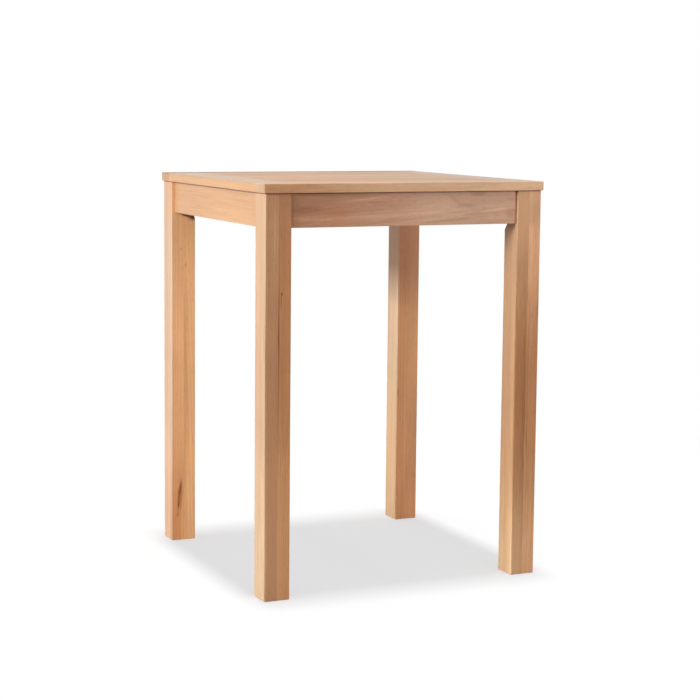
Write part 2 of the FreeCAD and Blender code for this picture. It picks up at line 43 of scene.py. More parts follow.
def add_node(tree, kind, feeds=(), **settings):
    """Adds a node, sets what it does, and feeds its inputs with values or with other nodes' outputs."""
    node = tree.nodes.new(kind)
    for name, value in settings.items():
        setattr(node, name, value)
    for name, feed in dict(feeds).items():
        feed_socket(tree, node.inputs[name], feed)
    return node


def reckon(tree, how, *terms):
    """One sum on numbers, such as MULTIPLY or ADD."""
    return add_node(tree, "ShaderNodeMath", enumerate(terms), operation=how).outputs[0]


def reckon_points(tree, how, *terms):
    """One sum on points, such as a length, a product or a difference."""
    node = add_node(tree, "ShaderNodeVectorMath", operation=how)
    for socket, term in zip([s for s in node.inputs if s.type == "VECTOR"], terms):
        feed_socket(tree, socket, term)
    return node.outputs["Value" if how in ("LENGTH", "DOT_PRODUCT") else "Vector"]


def ramp(tree, value, low, high, to_low=0.0, to_high=1.0):
    """Eases from one level to another while a value goes from low to high."""
    feeds = {"Value": value, "From Min": low, "From Max": high, "To Min": to_low, "To Max": to_high}
    return add_node(tree, "ShaderNodeMapRange", feeds, interpolation_type="SMOOTHSTEP").outputs["Result"]


def streaks(tree, point, stretch, detail=2.0, roughness=0.5):
    """Noise stretched along the grain: stretch is how often it changes in a metre, along and across."""
    scaled = reckon_points(tree, "MULTIPLY", point, stretch)
    feeds = {"Vector": scaled, "Scale": 1.0, "Detail": detail, "Roughness": roughness}
    return add_node(tree, "ShaderNodeTexNoise", feeds)


def tint(tree, amount, first, second, how="MIX"):
    """Mixes a second colour over a first."""
    node = add_node(tree, "ShaderNodeMix", data_type="RGBA", blend_type=how)
    for name, feed in (("Factor_Float", amount), ("A_Color", first), ("B_Color", second)):
        feed_socket(tree, next(s for s in node.inputs if s.identifier == name), feed)
    return next(s for s in node.outputs if s.identifier == "Result_Color")


# How often each feature of the timber changes in a metre, along the grain and then both ways across it.
LOG_WANDER, RING_DRIFT, RING_FADE = (1.3, 7.0, 7.0), (0.5, 9.0, 9.0), (0.9, 30.0, 30.0)
BROAD_BANDS, RED_STREAKS, CLOUDS = (0.8, 34.0, 34.0), (0.55, 17.0, 17.0), (3.2, 9.0, 9.0)
FINE_FIBRES, PORE_DASHES, END_SPECKLE = (5.0, 420.0, 420.0), (38.0, 1300.0, 1300.0), (300.0, 900.0, 900.0)
WEAR_AND_SHEEN_PATCHES, MARK_FRINGE = (14.0, 40.0, 40.0), (16.0, 240.0, 240.0)
# What the early, late and red wood do to a board's colour, and the colour that end grain goes towards.
EARLY_TINT, LATE_TINT, RED_TINT = (1.13, 1.15, 1.17, 1.0), (0.78, 0.71, 0.65, 1.0), (0.95, 0.80, 0.70, 1.0)
END_COLOR = (0.48, 0.35, 0.21, 1.0)


def log_rings(tree, point, given):
    """Growth rings round the log's middle, from nought in the early wood to one in the late wood."""
    # The log isn't quite straight, so its rings wander.
    wander = streaks(tree, point, LOG_WANDER, 1.0).outputs["Color"]
    wander = reckon_points(tree, "SUBTRACT", wander, (0.5, 0.5, 0.5))
    wander = reckon_points(tree, "MULTIPLY", wander, given["Bend"])
    bent = reckon_points(tree, "MULTIPLY", reckon_points(tree, "ADD", point, wander), (0.0, 1.0, 1.0))
    radius = reckon_points(tree, "LENGTH", bent)
    drift = streaks(tree, point, RING_DRIFT, 1.0).outputs["Fac"]
    turns = reckon(tree, "MULTIPLY_ADD", drift, 3.0, reckon(tree, "MULTIPLY", radius, given["Rings"]))
    ring = reckon(tree, "FRACT", turns)
    late_wood = reckon(tree, "MULTIPLY", ramp(tree, ring, 0.25, 0.86), ramp(tree, ring, 0.9, 1.0, 1.0, 0.0))
    fade = streaks(tree, point, RING_FADE).outputs["Fac"]
    return reckon(tree, "MULTIPLY", late_wood, ramp(tree, fade, 0.3, 0.7, 0.25, 1.0))


def face_color(tree, point, given, late_wood, fibres):
    """The colour along the grain, with rings, broad bands, fine fibres and reddish streaks in it."""
    bands = ramp(tree, streaks(tree, point, BROAD_BANDS, 3.0).outputs["Fac"], 0.3, 0.7)
    depth = reckon(tree, "MULTIPLY", late_wood, given["Ring strength"])
    depth = reckon(tree, "MULTIPLY_ADD", bands, given["Banding"], depth)
    depth = reckon(tree, "MULTIPLY_ADD", ramp(tree, fibres, 0.3, 0.7), 0.22, depth)
    pale, dark, red = (tint(tree, 1.0, given["Wood"], how_tinted, "MULTIPLY")
                       for how_tinted in (EARLY_TINT, LATE_TINT, RED_TINT))
    color = tint(tree, depth, pale, dark)
    red_streaks = ramp(tree, streaks(tree, point, RED_STREAKS, 2.0).outputs["Fac"], 0.42, 0.66)
    return tint(tree, reckon(tree, "MULTIPLY", red_streaks, given["Redness"]), color, red)


def end_color(tree, point, given, late_wood):
    """The colour of end grain, which is greyer than the faces and shows the rings as arcs."""
    speckle = ramp(tree, streaks(tree, point, END_SPECKLE, 2.0).outputs["Fac"], 0.3, 0.7, 0.0, 0.35)
    arcs = reckon(tree, "MULTIPLY_ADD", late_wood, 0.6, speckle)
    pale = tint(tree, 0.4, given["Wood"], END_COLOR)
    return tint(tree, arcs, pale, tint(tree, 1.0, given["Wood"], LATE_TINT, "MULTIPLY"))


def arris_wear_and_sheen(tree, point, given):
    """How much hands and cloths have polished the wood, which they do on the arrises only. The same mask lays
    a painted highlight along the arrises.
    """
    inwards = reckon_points(tree, "SUBTRACT", given["Half size"], reckon_points(
        tree, "ABSOLUTE", reckon_points(tree, "SUBTRACT", given["Place"], given["Middle"])))
    sides = add_node(tree, "ShaderNodeSeparateXYZ", {"Vector": inwards}).outputs
    near = reckon(tree, "MINIMUM", sides["X"], sides["Y"])
    far = reckon(tree, "MAXIMUM", sides["X"], sides["Y"])
    to_arris = reckon(tree, "MAXIMUM", near, reckon(tree, "MINIMUM", far, sides["Z"]))
    patches = streaks(tree, point, WEAR_AND_SHEEN_PATCHES).outputs["Fac"]
    return reckon(tree, "MULTIPLY", ramp(tree, to_arris, 0.0004, 0.0035, 1.0, 0.0),
                  ramp(tree, patches, 0.3, 0.65, 0.45, 1.0))


def make_timber():
    """The hardwood as a solid log along X, with its rings, fibres, pores, end grain, and worn arrises that
    are a little paler, partly from wear and partly as a painted highlight.
    """
    tree = bpy.data.node_groups.new("oiled_hardwood", "ShaderNodeTree")
    for name, kind in (
        ("Log point", "Vector"), ("Place", "Vector"), ("Facing", "Vector"), ("Grain", "Vector"),
        ("Middle", "Vector"), ("Half size", "Vector"), ("Wood", "Color"), ("Rings", "Float"),
        ("Ring strength", "Float"), ("Bend", "Float"), ("Redness", "Float"), ("Banding", "Float"),
    ):
        tree.interface.new_socket(name=name, in_out="INPUT", socket_type="NodeSocket" + kind)
    for name, kind in (("Color", "Color"), ("Roughness", "Float"), ("Height", "Float")):
        tree.interface.new_socket(name=name, in_out="OUTPUT", socket_type="NodeSocket" + kind)
    given = add_node(tree, "NodeGroupInput").outputs
    point = given["Log point"]

    late_wood = log_rings(tree, point, given)
    fibres = streaks(tree, point, FINE_FIBRES, 3.0, 0.65).outputs["Fac"]
    pores = ramp(tree, streaks(tree, point, PORE_DASHES, 1.0).outputs["Fac"], 0.6, 0.74)
    wear_and_sheen = arris_wear_and_sheen(tree, point, given)
    across = reckon(tree, "ABSOLUTE", reckon_points(tree, "DOT_PRODUCT", given["Facing"], given["Grain"]))
    end = ramp(tree, across, 0.75, 0.95)

    color = tint(tree, reckon(tree, "MULTIPLY", end, 0.9), face_color(tree, point, given, late_wood, fibres),
                 end_color(tree, point, given, late_wood))
    shade = ramp(tree, streaks(tree, point, CLOUDS, 2.0).outputs["Fac"], 0.3, 0.7, 0.93, 1.06)
    shade = reckon(tree, "MULTIPLY", shade, ramp(tree, pores, 0.0, 1.0, 1.0, 0.72))
    # Worn arrises are a little paler: partly wear, partly a painted highlight.
    shade = reckon(tree, "MULTIPLY", shade, ramp(tree, wear_and_sheen, 0.0, 1.0, 1.0, 1.04))
    grey = add_node(tree, "ShaderNodeCombineColor", {"Red": shade, "Green": shade, "Blue": shade}).outputs[0]
    color = tint(tree, 1.0, color, grey, "MULTIPLY")

    roughness = ramp(tree, fibres, 0.25, 0.75, 0.38, 0.52)
    roughness = reckon(tree, "MULTIPLY_ADD", end, 0.18, roughness)
    roughness = reckon(tree, "MULTIPLY_ADD", wear_and_sheen, -0.07, roughness)
    height = reckon(tree, "MULTIPLY_ADD", pores, -1.0, reckon(tree, "MULTIPLY", fibres, 0.8))
    height = reckon(tree, "MULTIPLY_ADD", late_wood, 0.35, height)
    add_node(tree, "NodeGroupOutput", {"Color": color, "Roughness": roughness, "Height": height})
    return tree


timber = make_timber()
# How a log is turned so that its length, which is X in the timber, lies along the board.
LOG_TURNS = {"X": Matrix.Identity(3), "Y": Matrix.Rotation(-math.pi / 2, 3, "Z"),
             "Z": Matrix.Rotation(math.pi / 2, 3, "Y")}
GRAIN_LINES = {"X": Vector((1, 0, 0)), "Y": Vector((0, 1, 0)), "Z": Vector((0, 0, 1))}
# The fibres' line is tipped a little, so that it lies across end grain too.
FIBRE_TIP = Vector((0.03, 0.02, 0.01))
# Each board comes from its own stretch of timber, this far from the last one's.
LOG_STEP = 7.3
board_numbers = count(1)
# A broad tone has full strength, no lean and a softly ragged edge.
SOFT_TONE = (1.0, 0.0, 0.3)
# The dark line in a gap fades out over this length. It is a dark joint, and under the top and in the recesses
# beside the aprons it is painted shade as well. Its tint is reddish, and browner for most of the lines
# between a leg and the front or back apron.
GAP_FADE = 0.0008
GAP_TINT, BROWN_GAP = (0.34, 0.09, 0.02), (0.23, 0.12, 0.04)


def mark_board(tree, color, log_point, place, place_of_mark, spread, mark_tint, strength=1.0, lean=0.0,
               ragged=0.6):
    """A knot, a streak or a patch: it is soft, and its ragged edges run out along the fibres."""
    from_mark = reckon_points(tree, "SUBTRACT", place, place_of_mark)
    if lean:
        from_mark = add_node(tree, "ShaderNodeVectorRotate", {
            "Vector": from_mark, "Angle": math.radians(lean)}, rotation_type="Y_AXIS").outputs[0]
    from_mark = reckon_points(tree, "DIVIDE", from_mark, spread)
    fringe = streaks(tree, log_point, MARK_FRINGE, 2.0).outputs["Fac"]
    reach = reckon(tree, "ADD", reckon_points(tree, "LENGTH", from_mark),
                   reckon(tree, "MULTIPLY_ADD", fringe, 2.0 * ragged, -ragged))
    return tint(tree, ramp(tree, reach, 0.15, 1.0, strength, 0.0), color, (*mark_tint, 1.0), "MULTIPLY")


def darken_joint_and_shade(tree, color, place, low, high, strength, gap_tint=GAP_TINT):
    """The thin dark line where a board meets the next one: a dark joint with dust and old oil in it, and
    painted shade where it lies under the top or in a recess beside an apron.
    """
    middle, half = (Vector(low) + Vector(high)) / 2, (Vector(high) - Vector(low)) / 2
    beyond = reckon_points(tree, "SUBTRACT", reckon_points(
        tree, "ABSOLUTE", reckon_points(tree, "SUBTRACT", place, middle)), half)
    sides = add_node(tree, "ShaderNodeSeparateXYZ", {"Vector": beyond}).outputs
    off = reckon(tree, "MAXIMUM", sides["X"], reckon(tree, "MAXIMUM", sides["Y"], sides["Z"]))
    return tint(tree, ramp(tree, off, 0.0, GAP_FADE, strength, 0.0), color, (*gap_tint, 1.0), "MULTIPLY")


def dress(node, material):
    """Puts a material on a piece."""
    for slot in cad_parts[node].material_slots:
        slot.material = material


def cut_board(node, grain, wood, pith=(0.09, 0.03), lean=(0.6, 0.4), rings=210.0, ring_strength=0.3,
              bend=0.012, redness=0.35, banding=0.42, polish=0.2, tones=(), marks=(), gaps=(), edges=None):
    """Gives a piece its own board of the timber.

    Pith is how far the log's middle is from the board's, lean is how many degrees the grain is off the
    board's length, and edges are the corners of the post that the board is part of, where it is one.
    """
    material = bpy.data.materials.new(node + "_wood")
    material.use_nodes = True
    tree = material.node_tree
    tree.nodes.clear()
    low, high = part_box(node)
    turn = Euler((0.0, math.radians(lean[0]), math.radians(lean[1]))).to_matrix() @ LOG_TURNS[grain]
    start = Vector((next(board_numbers) * LOG_STEP, *pith))
    where = add_node(tree, "ShaderNodeTexCoord").outputs
    log_point = add_node(tree, "ShaderNodeMapping", {
        "Vector": where["Object"], "Location": start - turn @ ((low + high) / 2),
        "Rotation": turn.to_euler("XYZ")}).outputs[0]
    edge_low, edge_high = edges or (low, high)
    planed = add_node(tree, "ShaderNodeGroup", {
        "Log point": log_point, "Place": where["Object"], "Facing": where["Normal"],
        "Grain": GRAIN_LINES[grain], "Middle": (edge_low + edge_high) / 2,
        "Half size": (edge_high - edge_low) / 2, "Wood": (*wood, 1.0), "Rings": rings,
        "Ring strength": ring_strength, "Bend": bend, "Redness": redness, "Banding": banding,
    }, node_tree=timber).outputs
    color = planed["Color"]
    for place, *look in [(*tone, *SOFT_TONE) for tone in tones] + list(marks):
        color = mark_board(tree, color, log_point, where["Object"], low + Vector(place), *look)
    for gap in gaps:
        color = darken_joint_and_shade(tree, color, where["Object"], *gap)
    bump = add_node(tree, "ShaderNodeBump", {
        "Strength": 0.35, "Distance": 0.0004, "Height": planed["Height"]})
    fibre_line = add_node(tree, "ShaderNodeCombineXYZ", enumerate(GRAIN_LINES[grain] + FIBRE_TIP))
    surface = add_node(tree, "ShaderNodeBsdfPrincipled", {
        "Base Color": color, "Roughness": planed["Roughness"], "Normal": bump.outputs["Normal"],
        "IOR": 1.5, "Anisotropic": 0.5, "Anisotropic Rotation": 0.25, "Coat Weight": polish,
        "Coat Roughness": 0.36, "Coat IOR": 1.5, "Tangent": fibre_line.outputs[0]})
    add_node(tree, "ShaderNodeOutputMaterial", {"Surface": surface.outputs[0]})
    dress(node, material)


# A tone is a broad patch of paler or darker colour: how far its middle is from the board's low corner, its
# half widths, and its tint. A mark has the same for a knot, a streak or a patch, then its strength, and where
# it has them its lean in degrees and how ragged its edge is. Most are the wood's own colour; the ones that
# are painted light or shade say so where they stand. A gap is the low and high corners of a dark line, its
# strength and its tint, and corners a metre or more off are beyond the table.
# These are the tints that several marks share.
KNOT, KNOT_SHADE, SMOKE, HEART, PALE = ((0.20, 0.13, 0.10), (0.72, 0.50, 0.34), (0.45, 0.36, 0.30),
                                        (0.72, 0.60, 0.50), (1.30, 1.45, 1.55))
leg_boards = {
    "front_left_leg_outer_stave": dict(
        wood=(0.535, 0.252, 0.120), pith=(0.03, 0.11), banding=0.25,
        tones=[((0.0315, 0.000, 0.640), (0.0055, 0.012, 0.300), (0.88, 0.85, 0.82)),
               ((0.0000, 0.000, 0.500), (0.0060, 0.006, 0.800), (0.86, 0.84, 0.80)),
               # The last tone is painted shade under the top's overhang, darker towards the top of the leg.
               ((0.0150, 0.000, 1.040), (0.0600, 0.012, 0.080), (0.91, 0.88, 0.82))],
        # The first mark is painted light: the whole left side face, which the key light falls on, is tinted
        # paler and bluer, as the light washes it out.
        marks=[((0.0000, 0.035, 0.520), (0.0060, 0.300, 4.000), (1.17, 1.37, 1.57), 1.0),
               ((0.0000, 0.035, 0.000), (0.0060, 0.300, 0.330), (1.08, 1.14, 1.12), 1.0, 0.0, 0.2),
               ((0.0000, 0.035, 0.580), (0.0060, 0.300, 0.280), (0.92, 0.88, 0.87), 1.0, 0.0, 0.2),
               ((0.0250, 0.000, 0.930), (0.0045, 0.012, 0.160), (1.10, 1.28, 1.40), 0.9, 0.0, 0.3)]),
    "front_left_leg_inner_stave": dict(
        wood=(0.492, 0.201, 0.080), pith=(-0.05, 0.12), redness=0.6, banding=0.3,
        tones=[((0.0175, 0.000, 0.020), (0.1200, 0.060, 0.560), PALE),
               ((0.0175, 0.000, 0.480), (0.1200, 0.060, 0.260), (1.07, 1.08, 1.10)),
               ((0.0015, 0.000, 0.640), (0.0045, 0.012, 0.420), (0.78, 0.74, 0.70)),
               # The last tone is painted shade under the top's overhang, darker towards the top of the leg.
               ((0.0175, 0.000, 1.040), (0.0600, 0.012, 0.080), (0.91, 0.91, 0.89))],
        marks=[((0.0090, 0.000, 0.790), (0.0035, 0.008, 0.008), KNOT, 0.8),
               ((0.0080, 0.000, 0.772), (0.0022, 0.008, 0.030), SMOKE, 0.8),
               ((0.0015, 0.000, 0.700), (0.0024, 0.008, 0.140), SMOKE, 0.6),
               ((0.0015, 0.000, 0.671), (0.0028, 0.008, 0.035), SMOKE, 0.6)]),
    "back_left_leg_outer_stave": dict(
        wood=(0.880, 0.427, 0.195), pith=(0.10, 0.05), banding=0.3,
        tones=[((0.0000, 0.035, 1.020), (0.0060, 0.300, 0.170), (0.97, 0.87, 0.78)),
               ((0.0175, 0.000, 0.780), (0.0800, 0.030, 0.330), (1.10, 1.12, 1.10)),
               ((0.0310, 0.000, 0.030), (0.0080, 0.030, 0.160), (1.14, 1.22, 1.24)),
               ((0.0000, 0.035, 0.060), (0.0060, 0.300, 0.250), (1.03, 0.98, 0.90))],
        # The first mark is painted light: the whole left side face, which the key light falls on, is tinted
        # less red and bluer, as the light washes it out.
        marks=[((0.0000, 0.035, 0.520), (0.0060, 0.300, 4.000), (0.74, 0.86, 1.12), 1.0),
               ((0.0175, 0.000, 0.000), (0.0800, 0.030, 0.380), (0.80, 0.68, 0.55), 0.9, 0.0, 0.3),
               ((0.0225, 0.000, 0.122), (0.0110, 0.012, 0.075), KNOT_SHADE, 0.9, -7.0),
               ((0.0240, 0.000, 0.148), (0.0045, 0.010, 0.040), KNOT, 0.8, -7.0),
               ((0.0195, 0.000, 0.106), (0.0036, 0.010, 0.024), KNOT, 0.75, -9.0),
               ((0.0165, 0.000, 0.076), (0.0034, 0.010, 0.013), KNOT, 0.7, -9.0),
               # Painted shade: a dark wedge on the front face just under the left apron.
               ((0.0450, 0.000, 0.945), (0.0320, 0.012, 0.0055), (0.40, 0.28, 0.16), 1.0, -15.0, 0.1),
               ((0.0270, 0.000, 0.850), (0.0030, 0.006, 0.006), SMOKE, 0.6)]),
    "back_left_leg_inner_stave": dict(
        wood=(0.920, 0.448, 0.194), pith=(0.12, -0.04), banding=0.3,
        tones=[((0.0175, 0.000, 0.000), (0.0800, 0.030, 0.330), (0.93, 0.93, 0.95)),
               ((0.0175, 0.000, 0.850), (0.0800, 0.030, 0.450), (1.05, 1.09, 1.10)),
               ((0.0040, 0.000, 0.450), (0.0150, 0.030, 0.550), (0.88, 0.82, 0.76)),
               ((0.0270, 0.000, 0.420), (0.0080, 0.030, 0.400), (1.06, 1.10, 1.12))],
        # The first two marks are painted shade: the dark wedge on the front face just under the left apron,
        # deepest at the inner corner.
        marks=[((0.0320, 0.000, 0.939), (0.0240, 0.030, 0.012), (0.36, 0.26, 0.17), 1.0, 0.0, 0.2),
               ((0.0100, 0.000, 0.945), (0.0320, 0.012, 0.0055), (0.40, 0.28, 0.16), 1.0, -15.0, 0.1),
               ((0.0070, 0.000, 0.804), (0.0025, 0.006, 0.008), SMOKE, 0.6)]),
    "front_right_leg_inner_stave": dict(
        wood=(0.592, 0.292, 0.135), pith=(0.02, 0.10), banding=0.3,
        tones=[((0.0175, 0.000, 0.500), (0.0600, 0.008, 0.480), HEART),
               ((0.0175, 0.000, 0.000), (0.0600, 0.008, 0.300), (1.06, 1.18, 1.28)),
               ((0.0300, 0.000, 0.370), (0.0110, 0.008, 0.480), (0.88, 0.83, 0.80)),
               ((0.0020, 0.000, 0.500), (0.0050, 0.008, 0.250), (1.16, 1.18, 1.12)),
               ((0.0000, 0.035, 0.230), (0.0060, 0.200, 0.200), (1.06, 1.03, 0.97)),
               ((0.0000, 0.035, 0.540), (0.0060, 0.200, 0.480), (0.92, 0.87, 0.79)),
               ((0.0000, 0.035, 0.820), (0.0060, 0.200, 0.270), (0.90, 0.91, 0.93)),
               # Painted shade: a darker band on the side face just under the front apron.
               ((0.0000, 0.037, 0.948), (0.0060, 0.042, 0.016), (0.74, 0.71, 0.67)),
               ((0.0150, 0.000, 0.965), (0.0600, 0.008, 0.130), (1.16, 1.18, 1.16))],
        marks=[((0.0000, 0.035, 0.000), (0.0060, 0.200, 0.330), (1.25, 1.45, 1.55), 0.9, 0.0, 0.3)]),
    "front_right_leg_outer_stave": dict(
        wood=(0.775, 0.400, 0.203), pith=(0.11, 0.02), banding=0.35,
        tones=[((0.0040, 0.000, 0.620), (0.0080, 0.015, 0.380), (0.86, 0.84, 0.85)),
               ((0.0200, 0.000, 0.200), (0.0090, 0.015, 0.450), (1.05, 1.07, 1.05)),
               ((0.0175, 0.000, 0.985), (0.0600, 0.060, 0.055), (0.86, 0.87, 0.85))],
        marks=[((0.0175, 0.000, 0.490), (0.0600, 0.060, 0.500), (0.72, 0.60, 0.49), 1.0, 0.0, 0.25),
               ((0.0070, 0.000, 0.350), (0.0050, 0.015, 0.190), SMOKE, 0.25),
               ((0.0330, 0.000, 0.730), (0.0030, 0.010, 0.040), SMOKE, 0.4)]),
    "back_right_leg_inner_stave": dict(
        wood=(0.645, 0.280, 0.121), pith=(-0.08, 0.09), banding=0.3,
        tones=[((0.0000, 0.035, 0.180), (0.0060, 0.300, 0.300), (0.98, 0.93, 0.88)),
               ((0.0000, 0.035, 0.720), (0.0060, 0.300, 0.450), (1.01, 1.05, 1.20)),
               ((0.0175, 0.000, 0.130), (0.0600, 0.008, 0.250), (0.97, 0.89, 0.84)),
               ((0.0300, 0.000, 0.500), (0.0080, 0.008, 0.600), (1.06, 1.08, 1.08))],
        # The first mark is painted light: the whole side face that looks towards the key light is tinted
        # paler and bluer, as the light washes it out.
        marks=[((0.0000, 0.035, 0.520), (0.0060, 0.300, 4.000), (1.02, 1.30, 1.50), 1.0),
               ((0.0050, 0.000, 0.396), (0.0030, 0.010, 0.018), SMOKE, 0.7)]),
    "back_right_leg_outer_stave": dict(
        wood=(0.710, 0.338, 0.160), pith=(0.09, -0.06), banding=0.3,
        tones=[((0.0175, 0.000, 0.040), (0.0800, 0.030, 0.420), (0.89, 0.78, 0.72))]),
}
# Painted shade: a dark line along the top of the legs and aprons just under the top, where its overhang
# shades them. These are its height and its strength.
UNDER_TOP_SHADE_HEIGHT, UNDER_TOP_SHADE_STRENGTH = 0.0019, 0.9
# Dark lines also run up each leg where the aprons' faces meet it: a dark joint, and painted shade in the
# narrow recess between the apron's face and the leg's. Each is about a line just off the leg's inner face,
# with these half widths through that face and over it.
JUST_OFF, THROUGH_FACE, OVER_FACE = 0.999, 0.001, 0.0022
foot_of_apron, front_of_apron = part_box("front_apron")[0].z, abs(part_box("front_apron")[0].y)
for node, board in leg_boards.items():
    leg = node.split("_leg_")[0]
    staves = [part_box(f"{leg}_leg_{part}_stave") for part in ("outer", "inner")]
    post = (Vector(map(min, *(low for low, _ in staves))), Vector(map(max, *(high for _, high in staves))))
    top_of_leg = post[1].z
    inner = Vector(min(abs(low), abs(high)) for low, high in zip(*post)) * JUST_OFF
    to_side, to_back = 1 if post[0].x > 0 else -1, 1 if post[0].y > 0 else -1
    # Painted shade along the top of the leg, under the top's overhang.
    leg_shade_and_joints = [((-1, -1, top_of_leg - UNDER_TOP_SHADE_HEIGHT), (1, 1, 2), UNDER_TOP_SHADE_STRENGTH)]
    for from_middle, reach, strength, gap_tint in (
        ((inner.x, front_of_apron), Vector((THROUGH_FACE, OVER_FACE)), 0.7, BROWN_GAP),
        ((front_of_apron, inner.y), Vector((OVER_FACE, THROUGH_FACE)), 0.2, GAP_TINT),
    ):
        spot = Vector((to_side * from_middle[0], to_back * from_middle[1]))
        leg_shade_and_joints.append(((*(spot - reach), foot_of_apron), (*(spot + reach), top_of_leg), strength, gap_tint))
    cut_board(node, "Z", edges=post, gaps=leg_shade_and_joints, **board)


# Corner blocks
# A mitred block of planed, unoiled hardwood spans each inner corner of the aprons, and the leg is bolted
# to it. It is screwed to both aprons through its ends.
INNER_WOOD = (0.56, 0.350, 0.200)
CORNERS = ("front_left", "front_right", "back_right", "back_left")
for corner in CORNERS:
    cut_board(corner + "_corner_block", "X", INNER_WOOD, pith=(0.05, 0.06))


# Aprons
# Four boards stand on edge between the legs, a little behind their faces, with the top resting on them.
# The front one is a pinkish board cut near the heart, so its figure runs in long flowing arches.
apron_boards = {
    "front_apron": ("X", dict(
        wood=(0.579, 0.309, 0.186), pith=(0.045, -0.03), lean=(1.9, 2.4), bend=0.040, rings=75.0,
        ring_strength=0.33, banding=0.25, redness=0.25,
        tones=[((-0.005, 0.000, 0.045), (0.460, 0.06, 0.220), (0.81, 0.68, 0.58))],
        marks=[((0.055, 0.000, 0.074), (0.075, 0.03, 0.009), (1.12, 1.17, 1.10), 0.9, 0.0, 0.4),
               ((0.028, 0.000, 0.023), (0.040, 0.03, 0.007), (1.14, 1.18, 1.15), 0.9, -2.0, 0.4),
               ((0.135, 0.000, 0.035), (0.045, 0.03, 0.030), (0.97, 0.88, 0.84), 0.9, 0.0, 0.4),
               ((0.635, 0.000, 0.028), (0.024, 0.03, 0.018), (0.84, 0.78, 0.74), 0.9, 0.0, 0.4),
               ((0.637, 0.000, 0.065), (0.016, 0.03, 0.010), (0.88, 0.83, 0.80), 0.9, 0.0, 0.4),
               ((0.497, 0.000, 0.030), (0.080, 0.03, 0.005), PALE, 0.4, 6.0),
               ((0.215, 0.000, 0.062), (0.080, 0.02, 0.0025), SMOKE, 0.45),
               ((0.405, 0.000, 0.040), (0.130, 0.06, 0.060), (1.12, 1.18, 1.22), 1.0),
               ((0.195, 0.000, 0.024), (0.240, 0.03, 0.008), (1.30, 1.36, 1.40), 0.75, 2.6),
               ((0.215, 0.000, 0.071), (0.100, 0.03, 0.006), PALE, 0.55, 6.0),
               ((0.050, 0.000, 0.044), (0.080, 0.03, 0.012), HEART, 0.6, 1.5),
               ((0.501, 0.000, 0.050), (0.034, 0.02, 0.008), SMOKE, 0.28, -8.0),
               ((0.465, 0.000, 0.067), (0.030, 0.02, 0.008), SMOKE, 0.2, -34.0),
               ((0.533, 0.000, 0.081), (0.034, 0.02, 0.009), SMOKE, 0.4, 0.0, 0.3),
               ((0.583, 0.000, 0.037), (0.075, 0.03, 0.006), PALE, 0.6, 7.0),
               ((0.445, 0.000, 0.012), (0.130, 0.03, 0.006), HEART, 0.6, 4.0)])),
    "left_apron": ("Y", dict(
        wood=(0.560, 0.257, 0.108), pith=(0.07, 0.02), banding=0.22, ring_strength=0.16)),
    "back_apron": ("X", dict(wood=(0.55, 0.300, 0.150), pith=(0.05, -0.03), lean=(1.0, 1.4), banding=0.3)),
    "right_apron": ("Y", dict(wood=(0.57, 0.315, 0.160), pith=(0.06, 0.03), banding=0.3)),
}
# How wide the dark line is where an apron's end meets a leg, on the front and back ones and on the sides.
# The line is a dark joint with painted shade in it.
END_LINE, SIDE_END_LINE = 0.0014, 0.002
for node, (grain, board) in apron_boards.items():
    low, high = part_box(node)
    # Painted shade along the top of the apron, under the top's overhang.
    shade_under_top = [((-1, -1, high.z - UNDER_TOP_SHADE_HEIGHT), (1, 1, 2), UNDER_TOP_SHADE_STRENGTH)]
    ends = [((-1, -1, 0), (low.x + END_LINE, 1, 2), 0.6),
            ((high.x - END_LINE, -1, 0), (1, 1, 2), 0.75, BROWN_GAP)]
    if grain == "Y":
        ends = [((-1, -1, 0), (1, low.y + SIDE_END_LINE, 2), 0.35),
                ((-1, high.y - SIDE_END_LINE, 0), (1, 1, 2), 0.35)]
    cut_board(node, grain, gaps=shade_under_top + ends, **board)


# Cleats
# Short square sticks screwed along the inner faces of the aprons, unoiled. Screws go up through them into
# the top.
for node in ("front_left_cleat", "front_right_cleat", "back_right_cleat", "back_left_cleat"):
    cut_board(node, "X", INNER_WOOD, pith=(0.04, 0.05))
for node in ("right_front_cleat", "right_back_cleat", "left_back_cleat", "left_front_cleat"):
    cut_board(node, "Y", INNER_WOOD, pith=(0.04, 0.05))


